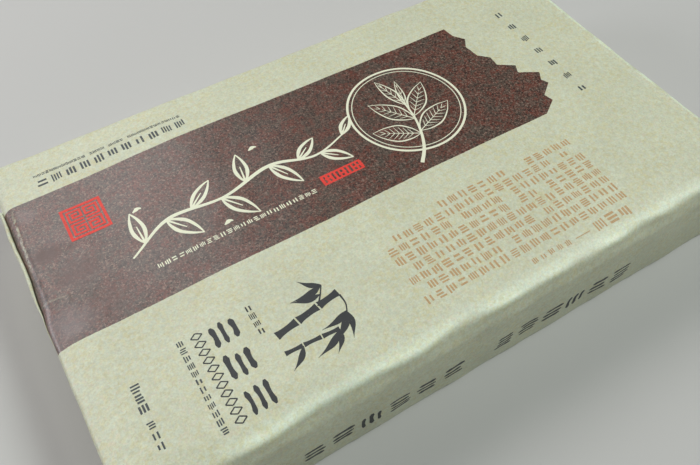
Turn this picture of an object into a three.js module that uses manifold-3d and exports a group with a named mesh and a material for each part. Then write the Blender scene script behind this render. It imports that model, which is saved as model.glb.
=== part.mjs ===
// A pressed brick of tea in its paper wrap: one closed pack, folded at both ends like a parcel.
// Millimetres, +Z up. X runs along the brick and Y across it. The origin is at the middle of the base.
import * as THREE from 'three';
import { mergeVertices } from 'three/addons/utils/BufferGeometryUtils.js';
import Module from 'manifold-3d';

const wasm = await Module();
wasm.setup();

// Driving dimensions of the pack, without the folded flaps.
const LENGTH = 253;
const WIDTH = 150.5;
const HEIGHT = 41;

// How far each rounding reaches in from the two faces that it joins.
const CROWN = { near: 8, far: 3.5, left: 5, right: 2.2 };
const CORNER_RADIUS = 3.5;
const BASE_RADIUS = 2.5;
const CROWN_BLEND = 3; // evens out the rounding where two top edges meet
const CROWN_START = 0.4; // the share of the height above which the corners widen to the crowns

// The pack isn't quite a box: its top falls towards the ends, and its walls swell a little.
const END_SAGS = [
  { side: -1, depth: 2.3, start: 55, full: 105 },
  { side: 1, depth: 0.7, start: 75, full: 125 },
];
const SIDE_SAG = 0.6;
const SIDE_HOLD = 0.55; // the share of the ends' sag that the long walls take away
const BELLY = { ends: 0.5, sides: 0.35 };
const SWELL = { height: 0.35, alongPitch: 31, acrossPitch: 24, start: 0.8 };

// The soft near edge wanders as a sum of waves, over a band along the edge that dies out at the ends.
const CROWN_WAVES = [
  { height: 0.3, pitch: 7.5, start: 0 },
  { height: 0.2, pitch: 4.3, start: 1.1 },
  { height: 0.2, pitch: 17, start: 0 },
];
const WAVE_BAND = { lowestRise: 0.6, fromNear: 12, fromEnds: 25 };

// Each end is closed by a flap folded down from the top and one folded up over it.
const UPPER_FLAP = { top: HEIGHT - 5, reach: 29, thickness: 0.6 };
const LOWER_FLAP = { foot: 3.5, thickness: 1.1 };
const ENDS = [
  { side: -1, lip: HEIGHT - 5.2, lipHalfWidth: 38, lipShift: 12, bulge: 1.7 },
  { side: 1, lip: HEIGHT - 9, lipHalfWidth: 42, lipShift: -5, bulge: 0.3 },
];
const FLAP_ROOT = 1.5; // how deep a flap is set into the wall behind it
const BULGE_CENTRE = 0.35; // where a lip stands out most, as a share of its half width
const BULGE_SPREAD = 0.6;

// How finely the surfaces are divided.
const ARC_STEPS = 3;
const BODY_STEPS = { x: 42, y: 24, z: 11 };
const FLAP_STEPS = { across: 18, up: 7 };

const PAPER = { color: 0xc9cba9, roughness: 0.78, metalness: 0 };

const { lerp, smoothstep } = THREE.MathUtils;

// One row of the box's grid, from 0 at its low side to 1 at its high side. The rows next to a side
// lean over by equal angles, and the ones between lie on the flat.
function gridRow(fraction, steps) {
  const index = Math.round(fraction * steps);
  const fromSide = Math.min(index, steps - index);
  const place = THREE.MathUtils.clamp((index - ARC_STEPS) / (steps - 2 * ARC_STEPS), 0, 1);
  const turn = Math.max(ARC_STEPS - fromSide, 0) / ARC_STEPS;
  return { place, lean: Math.sign(index * 2 - steps) * Math.tan(turn * Math.PI / 4) };
}

// The rounding of the top edges, blended from the nearest of the four.
function crownRadius(x, y) {
  const distances = {
    near: y + WIDTH / 2, far: WIDTH / 2 - y, left: x + LENGTH / 2, right: LENGTH / 2 - x,
  };
  let sum = 0;
  let weights = 0;
  for (const [edge, distance] of Object.entries(distances)) {
    const weight = (Math.max(distance, 0) + CROWN_BLEND) ** -3;
    sum += weight * CROWN[edge];
    weights += weight;
  }
  return sum / weights;
}

// A point on one axis: on the inner core, pushed out by its rounding along its share of the lean.
function onAxis(half, row, share, lowRadius, highRadius) {
  const radius = row.lean < 0 ? lowRadius : highRadius;
  return lerp(-half + lowRadius, half - highRadius, row.place) + radius * share;
}

function roundedPoint(fractions) {
  const rows = {
    x: gridRow(fractions.x, BODY_STEPS.x),
    y: gridRow(fractions.y, BODY_STEPS.y),
    z: gridRow(fractions.z, BODY_STEPS.z),
  };
  const lean = new THREE.Vector3(rows.x.lean, rows.y.lean, rows.z.lean).normalize();
  const topShare = smoothstep(fractions.z, CROWN_START, 1);
  const plan = (edge) => lerp(CORNER_RADIUS, CROWN[edge], topShare);
  const top = crownRadius((fractions.x - 0.5) * LENGTH, (fractions.y - 0.5) * WIDTH);
  return new THREE.Vector3(
    onAxis(LENGTH / 2, rows.x, lean.x, plan('left'), plan('right')),
    onAxis(WIDTH / 2, rows.y, lean.y, plan('near'), plan('far')),
    onAxis(HEIGHT / 2, rows.z, lean.z, BASE_RADIUS, top) + HEIGHT / 2,
  );
}

// How much lower the top lies at a point than a flat one would.
function sag(x, y) {
  const ends = END_SAGS.reduce(
    (sum, { side, depth, start, full }) => sum + depth * smoothstep(side * x, start, full),
    0,
  );
  const swell = SWELL.height
    * Math.sin(x / SWELL.alongPitch + SWELL.start) * Math.cos(y / SWELL.acrossPitch);
  const nearWall = (2 * y / WIDTH) ** 4;
  return ends * (1 - SIDE_HOLD * nearWall) + SIDE_SAG * nearWall - swell;
}

// How far the near edge stands out at a point, up and outwards alike.
function crownWave(x, y, rise) {
  const height = CROWN_WAVES.reduce(
    (sum, wave) => sum + wave.height * Math.sin(x / wave.pitch + wave.start),
    0,
  );
  return height * smoothstep(rise, WAVE_BAND.lowestRise, 1)
    * smoothstep(-y, WIDTH / 2 - WAVE_BAND.fromNear, WIDTH / 2)
    * smoothstep(LENGTH / 2 - Math.abs(x), 0, WAVE_BAND.fromEnds);
}

// Lets the box settle into the pack's uneven form. Its base stays flat.
function settle(point) {
  const { x, y, z } = point;
  const rise = z / HEIGHT;
  const belly = Math.sin(Math.PI * rise);
  const wave = crownWave(x, y, rise);
  point.set(
    x * (1 + 2 * BELLY.ends * belly * (1 - (2 * y / WIDTH) ** 2) / LENGTH),
    y * (1 + 2 * BELLY.sides * belly * (1 - (2 * x / LENGTH) ** 4) / WIDTH) - wave,
    z - rise * sag(x, y) + wave,
  );
  return point;
}

// Moves every corner of a box geometry through a function of its place in the box, from 0 to 1.
function reshape(box, place) {
  box.deleteAttribute('normal');
  box.deleteAttribute('uv');
  const shaped = mergeVertices(box);
  const positions = shaped.getAttribute('position');
  const fractions = new THREE.Vector3();
  for (let i = 0; i < positions.count; i += 1) {
    fractions.fromBufferAttribute(positions, i).addScalar(0.5);
    positions.setXYZ(i, ...place(fractions));
  }
  return shaped;
}

function packBody() {
  const box = new THREE.BoxGeometry(1, 1, 1, BODY_STEPS.x, BODY_STEPS.y, BODY_STEPS.z);
  return reshape(box, (fractions) => settle(roundedPoint(fractions)));
}

// A flap on an end wall. Its width goes evenly from its foot to its lip, and it follows the wall.
function flap(side, foot, lip, thickness, bulge) {
  const box = new THREE.BoxGeometry(1, 1, 1, 1, FLAP_STEPS.across, FLAP_STEPS.up);
  return reshape(box, (fractions) => {
    const up = fractions.z;
    const across = fractions.y * 2 - 1;
    const y = lerp(foot.shift, lip.shift, up) + across * lerp(foot.halfWidth, lip.halfWidth, up);
    const wall = settle(new THREE.Vector3(side * LENGTH / 2, y, lerp(foot.z, lip.z, up)));
    const swell = bulge * up ** 3 * Math.exp(-(((across - BULGE_CENTRE) / BULGE_SPREAD) ** 2));
    const outer = fractions.x > 0.5 === side > 0;
    wall.x += side * (outer ? thickness + swell : -FLAP_ROOT);
    return wall;
  });
}

// The flap that comes down from the top. Its sides run in at 45 degrees, as a folded sheet's do.
function upperFlap({ side }) {
  const halfWidth = WIDTH / 2 - CROWN.near / 2;
  const { top, reach, thickness } = UPPER_FLAP;
  return flap(
    side,
    { z: top - reach, halfWidth: halfWidth - reach, shift: 0 },
    { z: top, halfWidth, shift: 0 },
    thickness,
    0,
  );
}

// The flap that is folded up over it, with the lip that springs open at the left end.
function lowerFlap({ side, lip, lipHalfWidth, lipShift, bulge }) {
  const foot = { z: LOWER_FLAP.foot, halfWidth: WIDTH / 2 - CORNER_RADIUS, shift: 0 };
  const upper = { z: lip, halfWidth: lipHalfWidth, shift: lipShift };
  return flap(side, foot, upper, LOWER_FLAP.thickness, bulge);
}

function toSolid(geometry) {
  const vertProperties = new Float32Array(geometry.getAttribute('position').array);
  const triVerts = new Uint32Array(geometry.index.array);
  return new wasm.Manifold(new wasm.Mesh({ numProp: 3, vertProperties, triVerts }));
}

function toGeometry(solid) {
  const mesh = solid.getMesh();
  const geometry = new THREE.BufferGeometry();
  geometry.setAttribute('position', new THREE.BufferAttribute(mesh.vertProperties, 3));
  geometry.setIndex(new THREE.BufferAttribute(mesh.triVerts, 1));
  return geometry;
}

function wrappedBrick() {
  let solid = toSolid(packBody());
  for (const end of ENDS) {
    solid = solid.add(toSolid(upperFlap(end))).add(toSolid(lowerFlap(end)));
  }
  const geometry = toGeometry(solid);
  geometry.computeBoundingBox();
  const middle = geometry.boundingBox.getCenter(new THREE.Vector3());
  geometry.translate(-middle.x, -middle.y, -geometry.boundingBox.min.z);
  geometry.computeVertexNormals();
  const mesh = new THREE.Mesh(geometry, new THREE.MeshStandardMaterial(PAPER));
  mesh.name = 'wrapped_brick';
  return mesh;
}

const group = new THREE.Group();
group.add(wrappedBrick());

export default group;
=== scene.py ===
"""The looks of a pressed brick of tea in its printed paper wrap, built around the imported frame.

Shapes are worked out in millimetres, with X along the brick, Y across it and Z up, and become metres
when a mesh is made. The wrap is one closed skin with a folded flap of its own paper at each end, and
the print is thin shapes of ink laid on it.
"""

import math

import bpy
import numpy as np
from mathutils import Matrix, Vector
from mathutils.bvhtree import BVHTree


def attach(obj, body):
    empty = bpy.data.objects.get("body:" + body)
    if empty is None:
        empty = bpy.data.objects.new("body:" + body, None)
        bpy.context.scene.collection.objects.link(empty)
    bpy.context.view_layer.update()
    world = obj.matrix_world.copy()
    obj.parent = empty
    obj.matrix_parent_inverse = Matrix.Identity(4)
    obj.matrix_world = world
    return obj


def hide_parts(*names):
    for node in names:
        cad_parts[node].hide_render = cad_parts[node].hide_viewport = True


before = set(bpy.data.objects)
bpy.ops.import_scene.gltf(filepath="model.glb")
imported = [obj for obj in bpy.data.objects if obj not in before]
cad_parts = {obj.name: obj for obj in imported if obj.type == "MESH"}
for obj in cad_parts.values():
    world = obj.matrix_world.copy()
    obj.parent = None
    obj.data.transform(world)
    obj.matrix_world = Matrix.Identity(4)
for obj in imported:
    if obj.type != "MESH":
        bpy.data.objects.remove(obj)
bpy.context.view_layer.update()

MM = 0.001

# ------------ the pack's form, as in the solid
LENGTH, WIDTH, HEIGHT = 253.0, 150.5, 41.0
CROWN = {"near": 8.0, "far": 3.5, "left": 5.0, "right": 2.2}
CORNER_RADIUS = 3.5
BASE_RADIUS = 2.5
CROWN_BLEND = 3.0
CROWN_START = 0.4

END_SAGS = [(-1, 2.3, 55.0, 105.0), (1, 0.7, 75.0, 125.0)]  # side, depth, start, full
SIDE_SAG = 0.6
SIDE_HOLD = 0.55
BELLY = {"ends": 0.5, "sides": 0.35}
SWELL = {"height": 0.35, "along": 31.0, "across": 24.0, "start": 0.8}
CROWN_WAVES = [(0.3, 7.5, 0.0), (0.2, 4.3, 1.1), (0.2, 17.0, 0.0)]  # height, pitch, start
WAVE_BAND = {"lowest_rise": 0.6, "from_near": 12.0, "from_ends": 25.0}

UPPER_FLAP = {"top": HEIGHT - 5.0, "reach": 29.0, "stand": 0.4}
LOWER_FLAP = {"foot": 3.5, "stand": 0.8}
ENDS = [  # a lip may fall towards the near side, by its last figure
    dict(name="left", side=-1, lip=HEIGHT - 5.2, half=40.0, shift=14.0, bulge=0.7, fall=3.6),
    dict(name="right", side=1, lip=HEIGHT - 9.0, half=42.0, shift=-5.0, bulge=0.3, fall=0.0),
]
BULGE = {"centre": 0.35, "near_spread": 0.42, "far_spread": 0.8}  # along the lip, in half widths
PAPER = 0.3  # the folded paper's thickness, with its inner layers
LIP_GAP = 0.3  # between the wall and the lip of the outer flap, whose edge is turned in
LIP_START = 0.9  # the share of the outer flap's height from which its edge is turned in
LIP_FALL = (-0.1, 1.0)  # where a lip falls, in half widths towards the near side
LIP_TUCK = {"share": 0.6, "up": (0.75, 1.0), "near": (0.1, 0.6)}  # it also lies closer to the wall there
LIP_WANDER = {"height": 0.25, "half": 60.0, "pitch": 40.0}
SIDE_LIFT = {"height": 0.12, "across": (0.93, 1.0), "run": (2.0, 10.0)}  # a flap's sides stand out more
ROOT_RUN = {"lip": 9.0, "foot": 3.0}  # how far from its root a flap stands out in full
ROOT_DEPTH = 0.12
FLAP_RIPPLES = [(0.07, 1.4, 22.0, 0), (0.03, 1.0, 7.0, 1)]
FLAP_RIPPLE_RUN = (3.0, 12.0)  # from the root

# ------------ how finely it is divided
ARC_STEPS = 12
BODY_STEPS = (210, 134, 52)
FLAP_STEPS = (110, 40)
LIP_STEPS = 6
CROWDING = 0.6  # how much closer the rows lie next to the edges than midway


def smoothstep(x, low, high):
    t = np.clip((x - low) / (high - low), 0, 1)
    return t * t * (3 - 2 * t)


def mix(a, b, share):
    return a + (b - a) * share


def bump(x, centre, width):
    return np.exp(-(((x - centre) / width) ** 2))


def ripples(u, v, pitch, seed, count=9):
    """Even, band-limited unevenness with a spread of about 1, from waves in seeded directions."""
    draw = np.random.default_rng(seed)
    total = 0
    for _ in range(count):
        turn, start = draw.uniform(0, 2 * math.pi, 2)
        wave = 2 * math.pi / (pitch * draw.uniform(0.75, 1.35))
        total += np.sin(wave * (u * math.cos(turn) + v * math.sin(turn)) + start)
    return total * math.sqrt(2 / count)


def wander(u, size, pitch, seed, count):
    """The same along one line, of a given size."""
    return size * ripples(u, 0 * u, pitch, seed, count)


def wall_ripples(u, z, table, seed=0):
    """The same on a wall, from rows of height, how much closer they lie upwards, pitch and seed."""
    return sum(height * ripples(u, rise * z, pitch, seed + own) for height, rise, pitch, own in table)


# ------------ the form
def lattice_shell(nx, ny, nz):
    """The outer points of a block of nx by ny by nz cells, as whole numbers, and the quads on them."""
    index = np.indices((nx + 1, ny + 1, nz + 1))
    top = np.array([nx, ny, nz]).reshape(3, 1, 1, 1)
    outer = ((index == 0) | (index == top)).any(axis=0)
    ids = np.full(outer.shape, -1)
    ids[outer] = np.arange(outer.sum())
    quads = []
    for axis in range(3):
        for level, flip in ((0, axis != 1), (-1, axis == 1)):
            face = np.take(ids, level, axis=axis)
            a, b, c, d = face[:-1, :-1], face[1:, :-1], face[1:, 1:], face[:-1, 1:]
            ring = (a, d, c, b) if flip else (a, b, c, d)
            quads.append(np.stack([corner.ravel() for corner in ring], axis=1))
    return index[:, outer].astype(float), np.concatenate(quads)


def grid_rows(index, steps):
    """Where rows lie between the two roundings, from 0 to 1, and how far they lean over a rounding."""
    from_side = np.minimum(index, steps - index)
    even = np.clip((index - ARC_STEPS) / (steps - 2 * ARC_STEPS), 0, 1)
    place = even - CROWDING * np.sin(2 * math.pi * even) / (2 * math.pi)
    turn = np.maximum(ARC_STEPS - from_side, 0) / ARC_STEPS
    return place, np.sign(index * 2 - steps) * np.tan(turn * math.pi / 4)


def crown_radius(x, y):
    distances = dict(near=y + WIDTH / 2, far=WIDTH / 2 - y, left=x + LENGTH / 2, right=LENGTH / 2 - x)
    total, weights = 0, 0
    for edge, distance in distances.items():
        weight = (np.maximum(distance, 0) + CROWN_BLEND) ** -3.0
        total += weight * CROWN[edge]
        weights += weight
    return total / weights


def on_axis(half, place, lean, share, low, high):
    radius = np.where(lean < 0, low, high)
    return mix(-half + low, half - high, place) + radius * share


def rounded_block(index):
    """The pack before it settles: a block with a rounding of its own along each edge."""
    places, leans = zip(*(grid_rows(row, steps) for row, steps in zip(index, BODY_STEPS)))
    shares = np.array(leans) / np.linalg.norm(leans, axis=0)
    rise = smoothstep(places[2], CROWN_START, 1)

    def plan(edge):
        return mix(CORNER_RADIUS, CROWN[edge], rise)

    x = on_axis(LENGTH / 2, places[0], leans[0], shares[0], plan("left"), plan("right"))
    y = on_axis(WIDTH / 2, places[1], leans[1], shares[1], plan("near"), plan("far"))
    top = crown_radius(x, y)
    z = on_axis(HEIGHT / 2, places[2], leans[2], shares[2], BASE_RADIUS, top) + HEIGHT / 2
    return np.stack([x, y, z], axis=1)


def sag(x, y):
    ends = sum(depth * smoothstep(side * x, start, full) for side, depth, start, full in END_SAGS)
    near_wall = (2 * y / WIDTH) ** 4
    swell = np.sin(x / SWELL["along"] + SWELL["start"]) * np.cos(y / SWELL["across"])
    return ends * (1 - SIDE_HOLD * near_wall) + SIDE_SAG * near_wall - SWELL["height"] * swell


def crown_wave(x, y, rise):
    height = sum(size * np.sin(x / pitch + start) for size, pitch, start in CROWN_WAVES)
    height = height * smoothstep(rise, WAVE_BAND["lowest_rise"], 1)
    height = height * smoothstep(-y, WIDTH / 2 - WAVE_BAND["from_near"], WIDTH / 2)
    return height * smoothstep(LENGTH / 2 - abs(x), 0, WAVE_BAND["from_ends"])


def settle(points):
    x, y, z = points.T
    rise = z / HEIGHT
    belly = np.sin(math.pi * rise)
    wave = crown_wave(x, y, rise)
    out = x * (1 + 2 * BELLY["ends"] * belly * (1 - (2 * y / WIDTH) ** 2) / LENGTH)
    aside = y * (1 + 2 * BELLY["sides"] * belly * (1 - (2 * x / LENGTH) ** 4) / WIDTH) - wave
    return np.stack([out, aside, z - rise * sag(x, y) + wave], axis=1)


# ------------ what the paper adds to the form
TOP_RIPPLES = [(0.055, 28.0, 1), (0.018, 9.0, 2), (0.01, 4.5, 3)]  # height, pitch, seed
WALL_RIPPLES = [(0.1, 1.6, 24.0, 4), (0.04, 1.0, 7.0, 5)]
FACING = 0.02  # the least part of a normal by which a face counts as turned some way
NEAR_BELLY = {"depth": 0.6, "from_ends": 40.0}
NEAR_BAND = 16.0  # how far in from the near wall its soft edge reaches
NEAR_CORNER = {"turn": 45.0, "height": 0.85, "above": 21.0, "below": 12.0}  # turns in degrees
NEAR_WANDER = (2.4, 30.0, 20, 5)  # of that corner's line: degrees, pitch, seed, number of waves
NEAR_SHIFTS = [(-55.0, 13.0, 10.0), (44.0, 6.0, -8.0)]  # of that line: X, half width, degrees
NEAR_FIRMNESS = (0.25, 22.0, 24, 4)  # the same of its height, as a share
NEAR_START = 12.0  # from the ends, where it has its full height
SHOULDER = {"depth": 0.95, "from_middle": (61.0, 74.5)}
NEAR_FOLDS = [(74.0, 0.06, 7.0, 6.0, 21), (8.0, 0.1, 8.0, 5.0, 23)]  # turn, depth, width, wander, seed
FOLD_PITCHES = (45.0, 60.0)  # of a fold's line and of its depth
FOLD_LEVELS = (-0.5, 0.8)  # of the ripples between which a fold grows to its full depth
END_CORNERS = [(-1, 0.9, (6.0, -3.0)), (1, 0.75, (80.0, 66.0))]  # side, height, Y from where to where full
END_CORNER = (26.0, 24.0)  # its turn up from level and its width, in degrees
END_BAND = 9.0  # how far in from an end wall its corner reaches
END_MARGIN = (2.0, 12.0)  # from the long walls, over which that corner sets in
LEFT_BEVEL = {"depth": 0.7, "x": (-116.5, -124.5), "y": (6.5, -3.5), "from_near": (4.0, 20.0)}
FAR_SAGS = [(-55.0, 60.0, 0.8), (50.0, 38.0, -0.5)]  # of the far edge: middle X, half width, depth
FAR_SAG_BAND = (60.0, 74.0)  # Y where they start and are full
RIGHT_RIMS = [(0.4, 1.7, 0.8), (-0.26, 4.6, 1.5)]  # a lip and a dip: height, place from the end, width
RIGHT_FADE = {"share": 0.35, "y": (-45.0, 45.0)}  # they are weaker towards the far side
CREASES = [  # a line in plan, height, width; a groove has a height below 0
    ([(-126.0, 6.4), (-118.7, 5.6), (-116.6, 3.8)], 0.3, 0.5),
    ([(-117.6, -52.0), (-114.3, -55.6), (-110.5, -60.2)], -0.12, 0.9),
    ([(-125.0, 57.0), (-121.5, 63.0), (-120.8, 70.0)], 0.16, 0.6),
    ([(-122.5, 31.0), (-116.0, 24.5), (-108.0, 22.0)], -0.14, 1.6),
    ([(112.0, 64.0), (119.0, 58.5), (123.0, 50.0)], -0.1, 1.4),
    ([(121.5, -32.0), (124.5, -34.5)], 0.12, 0.6),
]
LEFT_DENT = {"x": -116.0, "widths": (3.6, 13.0), "depth": 0.34}
LEFT_DENT_SPAN = {"low": (5.0, 12.0), "high": (19.0, 30.0)}  # Y over which it starts and ends
CRUMPLE = {"height": 0.03, "pitch": 9.0, "from_end": 5.0, "width": 7.0}
SEAM = {"y": 18.0, "step": 0.25, "edge": (-0.3, 0.3), "wander": (0.3, 70.0, 41, 4)}
UNDERSIDE = (0.5, 0.95)  # how far down a face looks where the seam starts and is full


def from_line(x, y, points):
    """How far points in plan are from a line through the given corners."""
    nearest = np.full(np.shape(x), np.inf)
    for (x0, y0), (x1, y1) in zip(points, points[1:]):
        run = (x1 - x0) ** 2 + (y1 - y0) ** 2
        share = np.clip(((x - x0) * (x1 - x0) + (y - y0) * (y1 - y0)) / run, 0, 1)
        nearest = np.minimum(nearest, np.hypot(x - mix(x0, x1, share), y - mix(y0, y1, share)))
    return nearest


def relief(points, normals):
    """How far the paper stands off the plain form at each point, in millimetres."""
    x, y, z = points.T
    nx, ny, nz = normals.T
    level = np.clip(nz, 0, 1)
    upward = level**2

    top = sum(height * ripples(x, y, pitch, seed) for height, pitch, seed in TOP_RIPPLES)
    wall = wall_ripples(np.where(abs(nx) > abs(ny), y, x), z, WALL_RIPPLES)
    belly = NEAR_BELLY["depth"] * np.sin(math.pi * np.clip(z / HEIGHT, 0, 1)) * (ny < -0.5)
    belly = belly * smoothstep(LENGTH / 2 - abs(x), 0, NEAR_BELLY["from_ends"])
    total = top * upward + (wall + belly) * (nx**2 + ny**2)

    turn = np.degrees(np.arctan2(nz, -ny))
    near = (ny < FACING) & (y < -WIDTH / 2 + NEAR_BAND) & (nz > -0.1)
    line = NEAR_CORNER["turn"] + wander(x, *NEAR_WANDER)
    line = line + sum(degrees * bump(x, middle, width) for middle, width, degrees in NEAR_SHIFTS)
    firmness = (1 + wander(x, *NEAR_FIRMNESS)) * smoothstep(LENGTH / 2 - abs(x), 0, NEAR_START)
    width = np.where(turn > line, NEAR_CORNER["above"], NEAR_CORNER["below"])
    total += near * NEAR_CORNER["height"] * firmness * bump(turn, line, width)
    total -= upward * SHOULDER["depth"] * smoothstep(-y, *SHOULDER["from_middle"])
    far = sum(depth * bump(x, middle, width) for middle, width, depth in FAR_SAGS)
    total -= far * smoothstep(y, *FAR_SAG_BAND) * np.sqrt(level)
    for angle, depth, width, swing, seed in NEAR_FOLDS:
        line = angle + wander(x, swing, FOLD_PITCHES[0], seed, 5)
        here = smoothstep(wander(x, 1, FOLD_PITCHES[1], seed + 10, 4), *FOLD_LEVELS)
        total -= near * depth * here * bump(turn, line, width)

    from_right = LENGTH / 2 - x
    firm = mix(RIGHT_FADE["share"], 1.0, smoothstep(-y, *RIGHT_FADE["y"])) * upward**0.3 * (nz > FACING)
    total += firm * sum(height * bump(from_right, place, width) for height, place, width in RIGHT_RIMS)

    between = smoothstep(WIDTH / 2 - abs(y), *END_MARGIN) * (nz > -FACING)
    for side, height, (start, full) in END_CORNERS:
        turn = np.degrees(np.arctan2(nz, side * nx))
        there = (side * nx > FACING) & (side * x > LENGTH / 2 - END_BAND)
        there = there * between * (1 - smoothstep(y, full, start))
        total += there * height * bump(turn, *END_CORNER)
    bevel = smoothstep(-x, *(-place for place in LEFT_BEVEL["x"]))
    bevel = bevel * (1 - smoothstep(y, *LEFT_BEVEL["y"][::-1]))
    bevel = bevel * smoothstep(WIDTH / 2 + y, *LEFT_BEVEL["from_near"])
    total -= upward * LEFT_BEVEL["depth"] * bevel

    crumple = CRUMPLE["height"] * ripples(x, y, CRUMPLE["pitch"], 32)
    crumple = crumple * bump(LENGTH / 2 + x, CRUMPLE["from_end"], CRUMPLE["width"])
    width = np.where(x < LEFT_DENT["x"], *LEFT_DENT["widths"])
    dent = LEFT_DENT["depth"] * bump(x, LEFT_DENT["x"], width)
    dent = dent * smoothstep(y, *LEFT_DENT_SPAN["low"]) * (1 - smoothstep(y, *LEFT_DENT_SPAN["high"]))
    creases = sum(height * bump(from_line(x, y, line), 0, width) for line, height, width in CREASES)
    total += upward * (crumple - dent) + level * creases

    past_seam = SEAM["y"] + wander(x, *SEAM["wander"]) - y
    seam = SEAM["step"] * smoothstep(past_seam, *SEAM["edge"])
    below = np.minimum(0, -seam * smoothstep(-nz, *UNDERSIDE))
    return np.where(nz < -UNDERSIDE[0], below, total)


def flap_points(tree, index, side, foot, lip, stand_out, root, seed, bulge=0.0, fall=0.0):
    """A folded flap that follows its end wall. Its root lies in the wall and its lip stands free.

    Its foot and its lip are given as height, half width and shift across.
    """
    layers, across, up = index / np.array([LIP_STEPS, *FLAP_STEPS]).reshape(3, 1)
    inward = 1 - layers if side > 0 else layers
    across = across * 2 - 1
    uneven = wander(across * LIP_WANDER["half"], LIP_WANDER["height"], LIP_WANDER["pitch"], seed, 4)
    z, half, shift = (mix(low, high, up) for low, high in zip(foot, lip))
    z = z + uneven * up - fall * up * smoothstep(-across, *LIP_FALL)
    y = shift + across * half
    starts = [Vector((side * LENGTH, *place)) for place in zip(y, z)]
    wall = np.array([tree.ray_cast(start, Vector((-side, 0, 0)))[0] for start in starts])
    run = abs(z - (foot if root == "foot" else lip)[0])
    full = ROOT_RUN[root]
    stand = stand_out * smoothstep(run, 0, full) - ROOT_DEPTH * (1 - smoothstep(run, 0, full / 2))
    spread = np.where(across < BULGE["centre"], BULGE["near_spread"], BULGE["far_spread"])
    stand += bulge * up**3 * bump(across, BULGE["centre"], spread)
    at_side = smoothstep(abs(across), *SIDE_LIFT["across"]) * smoothstep(run, *SIDE_LIFT["run"])
    stand += SIDE_LIFT["height"] * at_side
    if fall:
        tucked = smoothstep(up, *LIP_TUCK["up"]) * smoothstep(-across, *LIP_TUCK["near"])
        stand = stand * (1 - LIP_TUCK["share"] * tucked)
    stand += wall_ripples(y, z, FLAP_RIPPLES, seed) * smoothstep(run, *FLAP_RIPPLE_RUN)
    thickness = np.full(z.shape, PAPER)
    if root == "foot":
        turned_in = np.maximum(stand - LIP_GAP, PAPER)
        thickness = mix(PAPER, turned_in, smoothstep(up, LIP_START, 1))
        wall[:, 2] += (up > 0.999) * thickness * np.sqrt(inward * (1 - inward))
    wall[:, 0] += side * (stand - inward * thickness)
    return wall


# ------------ meshes
def make_piece(name, points, faces, material, smooth=True):
    """A mesh piece that rides with the pack. Points are in millimetres."""
    mesh = bpy.data.meshes.new(name)
    mesh.from_pydata((np.asarray(points) * MM).tolist(), [], [list(face) for face in faces])
    mesh.materials.append(material)
    mesh.polygons.foreach_set("use_smooth", [smooth] * len(mesh.polygons))
    mesh.update()
    piece = bpy.data.objects.new(name, mesh)
    bpy.context.scene.collection.objects.link(piece)
    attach(piece, "root")
    return piece


def vertex_normals(points, quads):
    normals = np.zeros_like(points)
    a, b, c, d = (points[quads[:, corner]] for corner in range(4))
    face = np.cross(c - a, d - b)
    for corner in range(4):
        np.add.at(normals, quads[:, corner], face)
    return normals / np.linalg.norm(normals, axis=1, keepdims=True)


def wrap_points():
    index, quads = lattice_shell(*BODY_STEPS)
    points = settle(rounded_block(index))
    normals = vertex_normals(points, quads)
    return points + normals * relief(points, normals)[:, None], quads


def end_flaps(tree, index, end):
    """The two flaps of one end: the one from the top, then the one folded up over it."""
    side = end["side"]
    top, reach = UPPER_FLAP["top"], UPPER_FLAP["reach"]
    half = WIDTH / 2 - CROWN["near"] / 2
    foot, lip = (top - reach, half - reach, 0.0), (top, half, 0.0)
    upper = flap_points(tree, index, side, foot, lip, UPPER_FLAP["stand"], "lip", 51 + side)
    foot = (LOWER_FLAP["foot"], WIDTH / 2 - CORNER_RADIUS, 0.0)
    lip = (end["lip"], end["half"], end["shift"])
    give = {"bulge": end["bulge"], "fall": end["fall"]}
    lower = flap_points(tree, index, side, foot, lip, LOWER_FLAP["stand"], "foot", 61 + side, **give)
    return upper, lower


# ------------ materials
SEED_STEPS = (37.0, 91.0, 53.0)  # how far apart the noises of two seeds lie, in millimetres
NOISES = {  # pitch, detail, roughness, distortion, seed
    "tan": (1.7, 2.0, 0.65, 0.6, 1),
    "tan clouds": (12.0, 2.0, 0.5, 0.0, 2),
    "rose": (1.1, 1.0, 0.6, 0.5, 21),
    "flecked": (6.0, 1.0, 0.5, 0.0, 6),
    "brown clouds": (8.0, 2.0, 0.5, 0.3, 17),
    "brown patches": (1.6, 3.0, 0.7, 0.5, 7),
    "dark ink": (0.85, 2.0, 0.6, 0.5, 18),
    "light ink": (0.75, 2.0, 0.6, 0.6, 8),
    "thin ink": (0.6, 3.0, 0.75, 0.0, 15),
    "worn": (1.8, 4.0, 0.7, 0.4, 13),
    # the next noise breaks up the painted highlight along the right edge
    "edge highlight": (9.0, 2.0, 0.6, 0.0, 25),
    "grain": (0.55, 3.0, 0.6, 0.0, 10),
    "raised fibres": (2.2, 2.0, 0.6, 1.4, 11),
    "field edge": (0.9, 2.0, 0.6, 0.0, 12),
    # the next noise wobbles the edges of the painted sheen and shade patches
    "sheen and shade edge": (4.0, 3.0, 0.6, 0.0, 26),
    "wear edge": (5.0, 2.0, 0.6, 0.0, 19),
}
PATCHES = {  # the levels of the noise between which they set in, and their strength from and to
    "tan": (0.36, 0.68, 0.0, 1.0),
    "tan clouds": (0.3, 0.7, 0.5, 0.95),
    "rose": (0.5, 0.72, 0.0, 0.45),
    "flecked": (0.54, 0.62, 0.0, 0.45),
    "dark ink": (0.48, 0.62, 0.0, 0.95),
    "light ink": (0.53, 0.66, 0.0, 0.85),
    "worn": (0.42, 0.62, 0.0, 1.0),
    # the next patches break up the painted highlight along the right edge
    "edge highlight": (0.36, 0.6, 0.15, 1.0),
}
FIBRES = {"tan": (3.6, 0.014, 4, 0.4), "pale": (3.0, 0.016, 5, 0.45), "brown": (2.6, 0.022, 9, 0.55)}
FIBRE_CURL = 1.2  # of the lines above: pitch, width, seed and strength
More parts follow.
